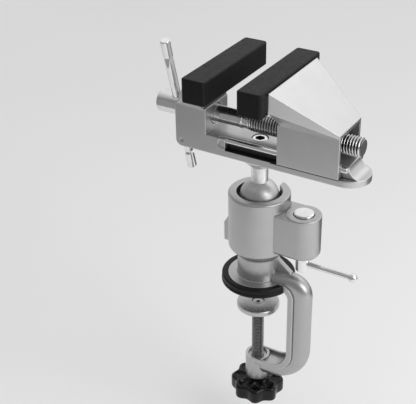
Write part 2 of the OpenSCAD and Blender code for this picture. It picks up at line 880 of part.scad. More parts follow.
module jaw_nut() {
  color(chrome)
    difference() {
      span_box([nut_x, -nut_w * half, screw_z - nut_w * half], [nut_x + nut_l, nut_w * half, screw_z + nut_w * half]);
      x_rod(screw_d * half + fit, nut_x - over, nut_l + 2 * over, 0, screw_z);
    }
}

// Frame at the lead screw's head, turned so that Z runs up the sliding bar
module at_bar() {
  translate([bar_x, 0, screw_z])
    rotate([bar_tilt, 0, 0])
      children();
}

module lead_screw() {
  head_x = bed_rear_x - washer_t - gap - head_l;
  color(chrome)
    difference() {
      union() {
        x_rod(head_d * half, head_x, head_l, 0, screw_z);
        x_rod(shank_d * half, head_x + head_l - over, thread_x - head_x - head_l + over, 0, screw_z);
        translate([thread_x, 0, screw_z])
          rotate([0, 90, 0])
            ridged_rod(screw_d * half, screw_turn_l, screw_turn_l * half, screw_end_x - thread_x);
      }
      at_bar()
        translate([0, 0, -head_d])
          cylinder(d = bar_d + 2 * fit, h = 2 * head_d);
    }
}

module thrust_washer() {
  color(chrome)
    difference() {
      x_rod(head_d * half, bed_rear_x - washer_t - gap * half, washer_t, 0, screw_z);
      x_rod(shank_d * half + fit, bed_rear_x - washer_t - over, washer_t + 2 * over, 0, screw_z);
    }
}

module retaining_ring() {
  color(chrome)
    difference() {
      x_rod(head_d * half, ring_x, ring_t, 0, screw_z);
      x_rod(shank_d * half, ring_x - over, ring_t + 2 * over, 0, screw_z);
    }
}

module tee_bar() {
  rod_l = bar_l - 2 * cap_l - 2 * bar_neck_l;
  color(chrome)
    at_bar()
      translate([0, 0, -bar_drop]) {
        translate([0, 0, -rod_l * half])
          cylinder(d = bar_d, h = rod_l);
        for (side = [0, 180])
          rotate([side, 0, 0]) {
            translate([0, 0, rod_l * half - sliver])
              cylinder(d1 = bar_d, d2 = bar_neck_d, h = bar_neck_l + sliver);
            translate([0, 0, rod_l * half + bar_neck_l - sliver])
              cylinder(d = bar_neck_d, h = cap_l * 3 / 4);
          }
      }
}

module tee_bar_caps() {
  color(chrome)
    at_bar()
      translate([0, 0, -bar_drop])
        for (side = [0, 180])
          rotate([side, 0, 0])
            translate([0, 0, bar_l * half - cap_l])
              difference() {
                cylinder(d1 = cap_wide - 2 * gap, d2 = cap_wide, h = cap_l);
                translate([0, 0, -over])
                  cylinder(d = bar_neck_d, h = cap_l * 3 / 4 + over);
              }
}

clamp_frame();
foot_pad();
ball_collar();
ball_stud();
stud_screw();
lock_bolt();
lock_wedge();
brake_pin();
lock_nut();
lock_lever();
lever_ball();
clamp_screw();
pressure_pad();
pad_screw();
clamp_knob();
vise_body();
guide_rods();
fixed_jaw_pad();
moving_jaw();
moving_jaw_pad();
jaw_nut();
lead_screw();
thrust_washer();
retaining_ring();
tee_bar();
tee_bar_caps();
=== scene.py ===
import json
import math

import bmesh
import bpy
import numpy as np
from mathutils import Matrix, Vector


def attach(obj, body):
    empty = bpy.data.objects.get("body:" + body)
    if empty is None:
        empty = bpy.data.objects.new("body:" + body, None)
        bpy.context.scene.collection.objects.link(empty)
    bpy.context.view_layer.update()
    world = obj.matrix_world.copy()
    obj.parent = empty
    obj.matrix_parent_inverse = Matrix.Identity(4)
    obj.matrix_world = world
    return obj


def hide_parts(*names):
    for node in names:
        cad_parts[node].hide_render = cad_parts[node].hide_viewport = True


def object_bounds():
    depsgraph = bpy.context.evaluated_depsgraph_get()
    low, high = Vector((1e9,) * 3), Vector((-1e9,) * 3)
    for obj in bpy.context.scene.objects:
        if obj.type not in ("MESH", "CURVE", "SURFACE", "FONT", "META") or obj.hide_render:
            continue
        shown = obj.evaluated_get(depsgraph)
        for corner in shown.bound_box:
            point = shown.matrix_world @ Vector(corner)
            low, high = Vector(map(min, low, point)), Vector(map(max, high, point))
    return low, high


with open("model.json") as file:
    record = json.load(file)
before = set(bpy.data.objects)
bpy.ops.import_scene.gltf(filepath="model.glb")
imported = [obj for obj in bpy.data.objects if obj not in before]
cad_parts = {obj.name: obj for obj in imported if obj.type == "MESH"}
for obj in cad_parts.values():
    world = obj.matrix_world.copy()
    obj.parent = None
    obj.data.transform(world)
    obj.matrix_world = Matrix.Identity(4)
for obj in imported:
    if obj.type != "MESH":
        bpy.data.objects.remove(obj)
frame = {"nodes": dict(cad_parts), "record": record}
cad_low, cad_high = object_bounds()

MM = 0.001
NODES = frame["nodes"]
RECORD = frame["record"]
BODY_OF = {node: body for body, nodes in RECORD["behaviour"]["bodies"].items() for node in nodes}
SLOT_OF = {part["node"]: part["material_slot"] for part in RECORD["subparts"]}
JOINTS = {joint["name"]: joint for joint in RECORD["behaviour"]["joints"]}
scene = bpy.context.scene

# Camera, as fitted to the photograph: place, view angles and lens
CAMERA_AT = Vector((249.0, -461.8, 363.8)) * MM
CAMERA_AZIMUTH = math.radians(31.745)
CAMERA_ELEVATION = math.radians(30.401)
CAMERA_ROLL = math.radians(-1.052)
IMAGE_WIDTH = 416
IMAGE_HEIGHT = 404
FOCAL_PX = 971.79
CENTRE_PX = (209.42, 204.28)
SENSOR_MM = 36.0


def make_camera():
    """Camera at the photograph's viewing angle."""
    sin_a, cos_a = math.sin(CAMERA_AZIMUTH), math.cos(CAMERA_AZIMUTH)
    sin_e, cos_e = math.sin(CAMERA_ELEVATION), math.cos(CAMERA_ELEVATION)
    back = Vector((sin_a * cos_e, -cos_a * cos_e, sin_e))
    level = Vector((cos_a, sin_a, 0))
    upright = back.cross(level)
    sin_r, cos_r = math.sin(CAMERA_ROLL), math.cos(CAMERA_ROLL)
    right = cos_r * level + sin_r * upright
    up = cos_r * upright - sin_r * level
    data = bpy.data.cameras.new("camera")
    data.sensor_fit = "HORIZONTAL"
    data.sensor_width = SENSOR_MM
    data.lens = SENSOR_MM * FOCAL_PX / IMAGE_WIDTH
    data.shift_x = (IMAGE_WIDTH / 2 - CENTRE_PX[0]) / IMAGE_WIDTH
    data.shift_y = (CENTRE_PX[1] - IMAGE_HEIGHT / 2) / IMAGE_WIDTH
    data.clip_start = 0.01
    data.clip_end = 20
    camera = bpy.data.objects.new("camera", data)
    scene.collection.objects.link(camera)
    turn = Matrix((right, up, back)).transposed().to_4x4()
    camera.matrix_world = Matrix.Translation(CAMERA_AT) @ turn
    scene.camera = camera


# Sizes of the solids that the pieces below stand for, in millimetres; BAR_TILT is in degrees
PLATE_Z = 90.8
PLATE_TOP = 95.0
PLATE_HALF = 13.3
RAIL_HALF = 9.0
STEP_X = -17.0
RAMP_X = 62.0
CAP_SCREW_TOP = PLATE_Z + 11.4
SCREW_Z = 112.0
BALL_Z = 62.0
BALL_R = 12.5
NECK_R = 5.3
NECK_TOP = 83.4
FLANGE_R = 12.0
LOCK_X = 31.0
BOLT_ENDS = (18.4, 59.3)
BOLT_SEAT = 56.6
BOLT_R = 2.5
BOLT_HEAD_R = 6.3
NUT_ENDS = (17.4, 30.4)
NUT_R = 4.2
LEVER_Z = 22.4
LEVER_R = 1.8
LEVER_ENDS = (2.7, 33.2)
LEVER_BALL_R = 2.9
LEVER_BALL_AT = 34.4
BAR_X = -57.9
BAR_TILT = 15.3
BAR_DROP = 2.2
BAR_HALF = 49.65
BAR_R = 2.7
CAP_R = 3.05
CAP_L = 11.8
NECK_L = 7.0
ROD_R = 1.9
ROD_Y = 10.3
ROD_Z = 100.8
ROD_ENDS = (-21.8, 62.0)
HEAD_R = 6.9
HEAD_ENDS = (-70.6, -53.6)
SHANK_R = 5.3
THREAD_ENDS = (-8.5, 66.5)
SCREW_R = 6.0
SCREW_TURN = 1.75
CLAMP_ENDS = (-87.9, -22.0)
CLAMP_R = 4.0
CLAMP_TURN = 1.25
SPIGOT_R = 3.0
KNOB_ENDS = (-93.4, -82.4)
KNOB_R = 18.1
KNOB_WAVE = 1.25
KNOB_LOBES = 8
KNOB_EDGE = 2.2
PRESS_FACE = -18.0
PRESS_R = 14.0
FOOT_R = 24.0
PLATE_R = 19.9
ARM_GAP = 8.2

# Boxes in millimetres, low and high corner, where shade is painted on the head: beside the rail,
# and as a painted shadow along the lower edge of the moving jaw
RECESS_PAINTED_SHADE = (
    (STEP_X + 0.05, RAIL_HALF - 0.1, PLATE_TOP - 0.1),
    (RAMP_X - 6, PLATE_HALF - 0.1, ROD_Z - 1))
SKIRT_PAINTED_SHADOW = (
    (STEP_X + 31, PLATE_HALF - 0.2, PLATE_TOP - 0.6),
    (RAMP_X - 4, PLATE_HALF + 1.7, PLATE_TOP + 1.15))

# Grey levels of the painted shade in grooves, the painted highlight on edges, the painted shade in
# the boxes and in a thread's roots, and how much of the roots' painted shade the ball has
GROOVE_SHADE_LEVEL = 0.22
EDGE_HIGHLIGHT_LEVEL = 0.9
PAINTED_SHADE_LEVEL = 0.2
ROOT_SHADE_LEVEL = 0.1
BALL_PAINTED_SHADE = 0.38

# Depths that the finishes' bumps stand for
GRAIN_DEPTH = 0.12 * MM
STREAK_DEPTH = 0.08 * MM
TURNING_DEPTH = 0.05 * MM
WAVE_DEPTH = 0.3 * MM

# Where most of a noise's values lie, and a colour mix's sockets
NOISE_SPREAD = (0.3, 0.7)
MIX_AMOUNT, MIX_FIRST, MIX_SECOND, MIX_RESULT = 0, 6, 7, 2

# Bend of a casting's face, as a share of its grid, from which a groove's painted shade or an edge's
# painted highlight shows, and what it takes from there to show fully
GROOVE_SHADE_BEND = (0.02, 0.08)
EDGE_HIGHLIGHT_BEND = (0.045, 0.1)

# How a node's mesh is made ready: corners this close are joined, faces this flat become one, edges
# sharper than this are rounded, and a casting keeps this share of its fine grid's faces
JOINED_WITHIN = 0.015 * MM
FLAT_WITHIN = math.radians(0.4)
ROUNDED_FROM = math.radians(28)
KEPT_SHARE = 0.4

# Places of the turned pieces, each as a frame whose Z is the axis that the piece is turned about
UPRIGHT = Matrix.Identity(4)
SIDEWAYS = Matrix.Rotation(math.pi / 2, 4, "Y")
FLIP = Matrix.Rotation(math.pi, 4, "X")
LOCK_AXIS = Matrix.Translation((LOCK_X * MM, 0, 0))
SCREW_AXIS = Matrix.Translation((0, 0, SCREW_Z * MM)) @ SIDEWAYS
LEVER_AXIS = Matrix.Translation((LOCK_X * MM, 0, LEVER_Z * MM)) @ SIDEWAYS
BAR_AXIS = (Matrix.Translation((BAR_X * MM, 0, SCREW_Z * MM))
            @ Matrix.Rotation(math.radians(BAR_TILT), 4, "X")
            @ Matrix.Translation((0, 0, -BAR_DROP * MM)))


# Materials

class Nodes:
    """A material's node tree, with short calls for the nodes that the finishes share."""

    def __init__(self, name):
        self.material = bpy.data.materials.new(name)
        self.material.use_nodes = True
        self.tree = self.material.node_tree
        self.shader = self.tree.nodes["Principled BSDF"]
        self.place = self.add("ShaderNodeTexCoord").outputs["Object"]

    def add(self, kind, **settings):
        """A new node of this kind, with these settings."""
        node = self.tree.nodes.new(kind)
        for key, value in settings.items():
            setattr(node, key, value)
        return node

    def link(self, source, target):
        """Joins an output to an input."""
        self.tree.links.new(source, target)

    def noise(self, scale, detail, stretch=(1, 1, 1)):
        """Noise in the object's own space, as a value from 0 to 1."""
        mapping = self.add("ShaderNodeMapping")
        mapping.inputs["Scale"].default_value = stretch
        self.link(self.place, mapping.inputs["Vector"])
        noise = self.add("ShaderNodeTexNoise")
        noise.inputs["Scale"].default_value = scale
        noise.inputs["Detail"].default_value = detail
        self.link(mapping.outputs["Vector"], noise.inputs["Vector"])
        return noise.outputs["Fac"]

    def span(self, value, low, high):
        """The value, mapped from its usual spread to low and high."""
        spread = self.add("ShaderNodeMapRange")
        spread.inputs["From Min"].default_value = NOISE_SPREAD[0]
        spread.inputs["From Max"].default_value = NOISE_SPREAD[1]
        spread.inputs["To Min"].default_value = low
        spread.inputs["To Max"].default_value = high
        self.link(value, spread.inputs["Value"])
        return spread.outputs["Result"]

    def shade(self, value, color, low, high):
        """The colour, made darker and lighter by the value."""
        ramp = self.add("ShaderNodeValToRGB")
        for stop, position, level in zip(ramp.color_ramp.elements, NOISE_SPREAD, (low, high)):
            stop.position = position
            stop.color = (*(min(c * level, 1) for c in color), 1)
        self.link(value, ramp.inputs["Fac"])
        self.link(ramp.outputs["Color"], self.shader.inputs["Base Color"])

    def layer(self, name):
        """A value that the mesh carries at each of its corners, 0 where it has none."""
        return self.add("ShaderNodeAttribute", attribute_name=name).outputs["Fac"]

    def within(self, low, high):
        """1 between two corners in millimetres and on both sides of the XZ plane, else 0."""
        split = self.add("ShaderNodeSeparateXYZ")
        self.link(self.place, split.inputs["Vector"])
        from_middle = self.add("ShaderNodeMath", operation="ABSOLUTE")
        self.link(split.outputs["Y"], from_middle.inputs[0])
        sources = (split.outputs["X"], from_middle.outputs[0], split.outputs["Z"])
        result = None
        for source, a, b in zip(sources, low, high):
            inside = self.add("ShaderNodeMath", operation="COMPARE")
            self.link(source, inside.inputs[0])
            inside.inputs[1].default_value = (a + b) / 2 * MM
            inside.inputs[2].default_value = (b - a) / 2 * MM
            if result is None:
                result = inside.outputs[0]
                continue
            both = self.add("ShaderNodeMath", operation="MULTIPLY")
            self.link(result, both.inputs[0])
            self.link(inside.outputs[0], both.inputs[1])
            result = both.outputs[0]
        return result

    def tint(self, amount, level, blend):
        """The colour, multiplied by or mixed with a grey level as far as the amount says."""
        mix = self.add("ShaderNodeMix", data_type="RGBA", blend_type=blend)
        mix.inputs[MIX_SECOND].default_value = (level, level, level, 1)
        plain = self.shader.inputs["Base Color"].links[0].from_socket
        self.link(amount, mix.inputs[MIX_AMOUNT])
        self.link(plain, mix.inputs[MIX_FIRST])
        self.link(mix.outputs[MIX_RESULT], self.shader.inputs["Base Color"])

    def rough(self, value, low, high):
        """The roughness, from low to high by the value."""
        self.link(self.span(value, low, high), self.shader.inputs["Roughness"])

    def bump(self, value, strength, depth, below=None):
        """A fine relief by the value, on top of the one below it."""
        bump = self.add("ShaderNodeBump")
        bump.inputs["Strength"].default_value = strength
        bump.inputs["Distance"].default_value = depth
        self.link(value, bump.inputs["Height"])
        if below is not None:
            self.link(below, bump.inputs["Normal"])
        self.link(bump.outputs["Normal"], self.shader.inputs["Normal"])
        return bump.outputs["Normal"]


def satin_casting(name, color, roughness, grain, streaks=None, metallic=1.0, painted_shade=()):
    """Die-cast aluminium: clouded colour, fine grain, and brushed lines where streaks gives their
    direction. It has painted shade in grooves and in the boxes, and a painted highlight on edges."""
    nodes = Nodes(name)
    nodes.shader.inputs["Metallic"].default_value = metallic
    nodes.shade(nodes.noise(70, 4), color, 0.975, 1.025)
    # painted shade in grooves and a painted highlight on edges, from the mesh's layers
    nodes.tint(nodes.layer("groove"), GROOVE_SHADE_LEVEL, "MULTIPLY")
    nodes.tint(nodes.layer("edge_highlight"), EDGE_HIGHLIGHT_LEVEL, "MIX")
    # painted shade beside the rail and a painted shadow under the moving jaw's skirt
    for low, high in painted_shade:
        nodes.tint(nodes.within(low, high), PAINTED_SHADE_LEVEL, "MULTIPLY")
    nodes.rough(nodes.noise(260, 3), roughness - 0.02, roughness + 0.02)
    normal = nodes.bump(nodes.noise(grain, 4), 0.25, GRAIN_DEPTH)
    if streaks:
        nodes.bump(nodes.noise(1, 2, streaks), 0.12, STREAK_DEPTH, normal)
    return nodes.material


def plated(name, color, roughness, painted_shade=False):
    """Plated or turned steel with faint turning marks, and painted shade in a thread's roots and on
    the ball.
    """
    nodes = Nodes(name)
    nodes.shader.inputs["Metallic"].default_value = 1.0
    nodes.shade(nodes.noise(180, 3), color, 0.94, 1.04)
    nodes.rough(nodes.noise(500, 3), roughness * 0.8, roughness * 1.25)
    nodes.bump(nodes.noise(1800, 2), 0.06, TURNING_DEPTH)
    if painted_shade:
        # painted shade: darker in a thread's roots and over the ball
        nodes.tint(nodes.layer("painted_shade_layer"), ROOT_SHADE_LEVEL, "MULTIPLY")
    return nodes.material


def rubber(name, color, roughness, grain):
    """Black moulded rubber with a fine matt grain."""
    nodes = Nodes(name)
    nodes.shader.inputs["Specular IOR Level"].default_value = 0.2
    nodes.shade(nodes.noise(220, 4), color, 0.8, 1.25)
    nodes.rough(nodes.noise(420, 3), roughness - 0.06, roughness + 0.06)
    nodes.bump(nodes.noise(grain, 4), 0.35, GRAIN_DEPTH)
    return nodes.material


def gloss_plastic(name, color, roughness):
    """Glossy moulded plastic, with the slow waves that a moulded face has."""
    nodes = Nodes(name)
    nodes.shader.inputs["Specular IOR Level"].default_value = 0.3
    nodes.shade(nodes.noise(150, 2), color, 0.85, 1.15)
    nodes.rough(nodes.noise(300, 3), roughness * 0.7, roughness * 1.4)
    nodes.bump(nodes.noise(160, 2), 0.15, WAVE_DEPTH)
    return nodes.material


def make_materials():
    """One finish for each of the record's material slots."""
    finishes = {
        "base_casting": (satin_casting, (0.49, 0.49, 0.495), 0.34, 1500, None, 0.92),
        # head: painted shade beside the rail, painted shadow under the jaw
        "head_casting": (
            satin_casting, (0.6, 0.6, 0.6), 0.36, 2200, (60, 60, 2400), 1.0,
            (RECESS_PAINTED_SHADE, SKIRT_PAINTED_SHADOW)),
        "jaw_casting": (satin_casting, (0.6, 0.6, 0.6), 0.36, 2200, (60, 2400, 60)),
        "foot_rubber": (rubber, (0.009, 0.009, 0.0095), 0.42, 2600),
        "jaw_rubber": (rubber, (0.009, 0.009, 0.0095), 0.5, 3000),
        "collar_nylon": (rubber, (0.012, 0.012, 0.012), 0.4, 3400),
        "knob_plastic": (gloss_plastic, (0.005, 0.005, 0.0052), 0.18),
        # True: painted shade from the mesh's layer, in thread roots and on the ball
        "ball_steel": (plated, (0.93, 0.93, 0.93), 0.4, True),
        "bright_steel": (plated, (0.86, 0.86, 0.87), 0.12),
        "screw_steel": (plated, (0.78, 0.78, 0.79), 0.15, True),
        "plain_steel": (plated, (0.55, 0.55, 0.55), 0.32),
        "dark_steel": (plated, (0.3, 0.3, 0.305), 0.3, True),
    }
    return {name: make(name, *values) for name, (make, *values) in finishes.items()}


# Pieces

def finish(obj, node, smooth=40):
    """Gives a piece the material and the body of the node that it stands for."""
    obj.data.materials.clear()
    obj.data.materials.append(materials[SLOT_OF[node]])
    for face in obj.data.polygons:
        face.use_smooth = True
    obj.data.set_sharp_from_angle(angle=math.radians(smooth))
    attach(obj, BODY_OF[node])
    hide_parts(node)
    return obj


def new_object(name, bm):
    """A new object in the scene from the bmesh, which is used up."""
    mesh = bpy.data.meshes.new(name)
    bm.normal_update()
    bm.to_mesh(mesh)
    bm.free()
    obj = bpy.data.objects.new(name, mesh)
    scene.collection.objects.link(obj)
    return obj


def solid(name, bm):
    """A new object whose faces all look outwards."""
    bmesh.ops.recalc_face_normals(bm, faces=bm.faces)
    return new_object(name, bm)


def copy_of(name, node):
    """A new piece with the node's shape, its faces joined where they are flat."""
    bm = bmesh.new()
    bm.from_mesh(NODES[node].data)
    bmesh.ops.remove_doubles(bm, verts=bm.verts, dist=JOINED_WITHIN)
    bmesh.ops.dissolve_limit(bm, angle_limit=FLAT_WITHIN, verts=bm.verts, edges=bm.edges)
    return new_object(name, bm)


def edged(name, node, width, segments=3, clamp=True):
    """The node's shape with its edges rounded. With clamp, none is rounded further than its
    shortest edges allow."""
    obj = copy_of(name, node)
    bevel = obj.modifiers.new("edges", "BEVEL")
    bevel.width = width
    bevel.segments = segments
    bevel.limit_method = "ANGLE"
    bevel.angle_limit = ROUNDED_FROM
    bevel.use_clamp_overlap = clamp
    finish(obj, node)
    obj.modifiers.new("normals", "WEIGHTED_NORMAL").keep_sharp = True


def cast(name, node, grid):
    """The node's shape with every edge and corner flowing, as a casting has them. It is smoothed
    on a fine even grid and then thinned, which its faces don't show."""
    obj = copy_of(name, node)
    remesh = obj.modifiers.new("grid", "REMESH")
    remesh.mode = "VOXEL"
    remesh.voxel_size = grid
    remesh.use_smooth_shade = True
    smooth = obj.modifiers.new("flow", "SMOOTH")
    smooth.iterations = 2
    smooth.factor = 0.5
    bake(obj)
    # painted shade in the grooves and a painted highlight on the edges
    paint_shade_and_highlight(obj, grid)
    obj.modifiers.new("thin", "DECIMATE").ratio = KEPT_SHARE
    bake(obj)
    finish(obj, node, 180)


def bake(obj):
    """Leaves the result of the piece's modifiers as its mesh."""
    depsgraph = bpy.context.evaluated_depsgraph_get()
    shape = bpy.data.meshes.new_from_object(obj.evaluated_get(depsgraph))
    obj.modifiers.clear()
    old = obj.data
    obj.data = shape
    shape.name = obj.name
    bpy.data.meshes.remove(old)


def paint_shade_and_highlight(obj, grid):
    """Marks a fine even mesh: painted shade in its grooves, a painted highlight along its sharp
    edges.
    """
    mesh = obj.data
    count = len(mesh.vertices)
    place, normal = np.empty(count * 3), np.empty(count * 3)
    mesh.vertices.foreach_get("co", place)
    mesh.vertices.foreach_get("normal", normal)
    place, normal = place.reshape(-1, 3), normal.reshape(-1, 3)
    ends = np.empty(len(mesh.edges) * 2, int)
    mesh.edges.foreach_get("vertices", ends)
    one, two = ends.reshape(-1, 2).T
    links = np.bincount(one, minlength=count) + np.bincount(two, minlength=count)

    def mean(values):
        """Each corner's mean over its neighbours."""
        total = np.bincount(one, values[two], count) + np.bincount(two, values[one], count)
        return total / links

    middle = np.stack([mean(place[:, k]) for k in range(3)], axis=1)
    bend = ((middle - place) * normal).sum(axis=1) / grid
    for _ in range(3):
        bend = 0.5 * bend + 0.5 * mean(bend)
    # painted shade where the face bends in, a painted highlight where it bends out
    for name, value, (start, width) in (("groove", bend, GROOVE_SHADE_BEND), ("edge_highlight", -bend, EDGE_HIGHLIGHT_BEND)):
        layer = mesh.attributes.new(name, "FLOAT", "POINT")
        layer.data.foreach_set("value", np.clip((value - start) / width, 0, 1))


def rounded(points, steps=6):
    """A profile of (radius, height, corner radius) with its corners turned into arcs."""
    out = []
    for i, (r, z, corner) in enumerate(points):
        here = Vector((r, z))
        if corner <= 0 or i == 0 or i == len(points) - 1:
            out.append(here)
            continue
        back = Vector(points[i - 1][:2]) - here
        ahead = Vector(points[i + 1][:2]) - here
        half = back.angle(ahead) / 2
        reach = min(corner / math.tan(half), back.length * 0.49, ahead.length * 0.49)
        radius = reach * math.tan(half)
        start = here + back.normalized() * reach
        end = here + ahead.normalized() * reach
        inwards = (back.normalized() + ahead.normalized()).normalized()
        middle = here + inwards * (radius / math.sin(half))
        for k in range(steps + 1):
            ray = (start - middle).normalized().lerp((end - middle).normalized(), k / steps)
            out.append(middle + ray.normalized() * radius)
    return out


def polar(radius, angle, height):
    """A point from its distance to the Z axis, its angle round it and its height."""
    return Vector((radius * math.cos(angle), radius * math.sin(angle), height))


def ring_of(bm, count, place):
    """A ring of corners, each where place puts its angle."""
    return [bm.verts.new(place(2 * math.pi * k / count)) for k in range(count)]


def ring_faces(bm, low, high):
    """Joins two rings of corners; a ring of one corner is a point on the axis."""
    for k in range(max(len(low), len(high))):
        quad = [
            low[k % len(low)], low[(k + 1) % len(low)],
            high[(k + 1) % len(high)], high[k % len(high)]]
        corners = list(dict.fromkeys(quad))
        if len(corners) > 2:
            bm.faces.new(corners)


def loft(bm, rings):
    """Joins each ring of corners to the next."""
    for low, high in zip(rings, rings[1:]):
        ring_faces(bm, low, high)


def add_turned(bm, profile, turn, count=96):
    """Adds a turned solid. The profile of (radius, height, corner radius) is spun round its height
    and put in place by turn; one that never reaches the axis is a closed ring."""
    rings = []
    for radius, height in rounded([(r * MM, z * MM, c * MM) for r, z, c in profile]):
        if radius < 1e-9:
            rings.append([bm.verts.new(turn @ Vector((0, 0, height)))])
        else:
            rings.append(ring_of(bm, count, lambda angle: turn @ polar(radius, angle, height)))
    loft(bm, rings)
    if len(rings[0]) > 1 and len(rings[-1]) > 1:
        ring_faces(bm, rings[-1], rings[0])


def turned(name, node, profile, turn, count=96, smooth=35):
    """A piece that is one turned solid."""
    bm = bmesh.new()
    add_turned(bm, profile, turn, count)
    return finish(solid(name, bm), node, smooth)


def rod(radius, ends, corners=(0, 0)):
    """Profile of a plain rod, with the corner radius at each end."""
    (low, high), (first, second) = ends, corners
    return [(0, low, 0), (radius, low, first), (radius, high, second), (0, high, 0)]


def ball(radius, middle, last, steps):
    """Profile of a ball from its lowest point up to the angle last."""
    points = [(0, middle - radius, 0)]
    for k in range(1, steps + 1):
        angle = k * (last + math.pi / 2) / steps - math.pi / 2
        points.append((radius * math.cos(angle), middle + radius * math.sin(angle), 0))
    return points


# One turn of a thread: places along the turn and heights of the ridge there, as shares
THREAD_SHARES = (
    (0.0, 0.0), (0.08, 0.04), (0.36, 0.9), (0.42, 1.0), (0.58, 1.0), (0.64, 0.9), (0.92, 0.04))
THREAD_DEPTH = 0.6  # of one turn


def add_thread(bm, turn, ends, outer, pitch, core, run_in, chamfer, count=64):
    """Adds a threaded rod whose ridge climbs as a helix from its run-in to its chamfered end."""
    low, high = ends
    depth = THREAD_DEPTH * pitch
    steps = len(THREAD_SHARES)
    rows = steps * (math.ceil((high - low) / pitch) + 3)
    layers = bm.verts.layers.float
    # layer of painted shade, darkest in the thread's roots
    painted_shade_layer = layers.get("painted_shade_layer") or layers.new("painted_shade_layer")
    verts = []
    for row in range(rows):
        share, ridge = THREAD_SHARES[row % steps]
        ring = []
        for k in range(count):
            along = low + (row // steps + share + k / count - 1) * pitch
            fade = min(max((along - low) / run_in, 0), 1) if run_in else 1
            radius = core + (outer - depth + depth * ridge - core) * fade
            radius = min(radius, outer - chamfer + max(high - along, 0))
            along = min(max(along, low), high)
            vert = bm.verts.new(turn @ (polar(radius, 2 * math.pi * k / count, along) * MM))
            vert[painted_shade_layer] = (1 - ridge) * fade if low < along < high else 0
            ring.append(vert)
        verts.append(ring)

    def corner(row, k):
        """The corner k places along a row; past its end it goes on in the row one turn up."""
        return verts[row + steps * (k // count)][k % count]

    for row in range(rows - steps - 1):
        for k in range(count):
            bm.faces.new([
                corner(row, k), corner(row, k + 1), corner(row + 1, k + 1), corner(row + 1, k)])
    loose = [v for ring in verts for v in ring if not v.link_faces]
    bmesh.ops.delete(bm, geom=loose, context="VERTS")
    kept = [v for v in bm.verts if v.is_valid]
    bmesh.ops.remove_doubles(bm, verts=kept, dist=0.001 * MM)
    bmesh.ops.holes_fill(bm, edges=[edge for edge in bm.edges if edge.is_boundary], sides=0)


def cut(obj, tool):
    """Cuts the tool's shape out of the piece and leaves the result as its mesh."""
    bpy.context.view_layer.update()
    boolean = obj.modifiers.new("cut", "BOOLEAN")
    boolean.operation = "DIFFERENCE"
    boolean.solver = "EXACT"
    boolean.object = tool
    bake(obj)
    bpy.data.objects.remove(tool)


def prism(name, sides, across, ends, turn):
    """A prism with this width across its flats, used to cut key holes and bores."""
    bm = bmesh.new()
    add_turned(bm, rod(across / 2 / math.cos(math.pi / sides), ends), turn, sides)
    return solid(name, bm)


def box(name, low, high):
    """A box between two corners in millimetres, used to cut with."""
    bm = bmesh.new()
    bmesh.ops.create_cube(bm, size=1)
    for vert in bm.verts:
        vert.co = Vector([(a + b) / 2 + c * (b - a) for c, a, b in zip(vert.co, low, high)]) * MM
    return new_object(name, bm)


def key_screw(name, node, profile, key, depth):
    """An upright screw with a hexagon socket in its head, painted dark inside as shade."""
    top = profile[-1][1]
    bm = bmesh.new()
    add_turned(bm, profile, UPRIGHT, 64)
    obj = solid(name, bm)
    cut(obj, prism("key", 6, key, (top - depth, top + 2), UPRIGHT))
    finish(obj, node, 30)
    # painted shade: the socket's inside gets the dark material
    obj.data.materials.append(materials["dark_steel"])
    low, high = (top - depth - 0.1) * MM, (top - 0.02) * MM
    for face in obj.data.polygons:
        if low < face.center.z < high and face.center.xy.length < 0.6 * key * MM:
            face.material_index = 1


def make_ball_stud():
    """Ball, neck and cone flange in one turned piece, with painted shade on the ball."""
    sphere = ball(BALL_R, BALL_Z, math.acos(NECK_R / BALL_R), 48)
    neck_low = sphere[-1][1]
    rim = FLANGE_R - 0.8
    stud = turned("ball_and_neck", "ball_stud", sphere[:-1] + [
        (NECK_R, neck_low + 0.1, 0.8), (NECK_R, NECK_TOP, 0.3), (NECK_R + 0.5, NECK_TOP + 0.4, 0.2),
        (rim - 0.4, PLATE_Z - 2.4, 0.8), (rim, PLATE_Z - 1.9, 0.4), (rim, PLATE_Z, 0.3),
        (0, PLATE_Z, 0)], UPRIGHT, 128)
    # painted shade: the ball darker than the neck
    painted_shade_layer = stud.data.attributes.new("painted_shade_layer", "FLOAT", "POINT")
    painted_shade_layer.data.foreach_set(
        "value", [BALL_PAINTED_SHADE if vert.co.z < neck_low * MM else 0 for vert in stud.data.vertices])


def make_lock():
    """Bolt, nut, and the lever's rod and ball."""
    low, high = BOLT_ENDS
    turned("lock_bolt_head", "lock_bolt", [
        (0, low, 0), (BOLT_R - 0.3, low, 0), (BOLT_R, low + 0.4, 0), (BOLT_R, BOLT_SEAT, 0),
        (BOLT_HEAD_R, BOLT_SEAT, 0.2), (BOLT_HEAD_R, high - 0.4, 0.5),
        (BOLT_HEAD_R - 0.7, high - 0.1, 0.4), (0, high, 0)], LOCK_AXIS)
    low, high = NUT_ENDS
    turned("lock_nut_sleeve", "lock_nut", [
        (BOLT_R + 0.05, high, 0), (BOLT_R + 0.05, low, 0), (NUT_R - 0.5, low, 0.2),
        (NUT_R, low + 0.5, 0.2), (NUT_R, high, 0)], LOCK_AXIS)
    turned("lever_rod", "lock_lever", rod(LEVER_R, LEVER_ENDS), LEVER_AXIS, 48)
    sphere = ball(LEVER_BALL_R, LEVER_BALL_AT, math.pi / 2, 32)
    turned("lever_end_ball", "lever_ball", sphere, LEVER_AXIS, 64)


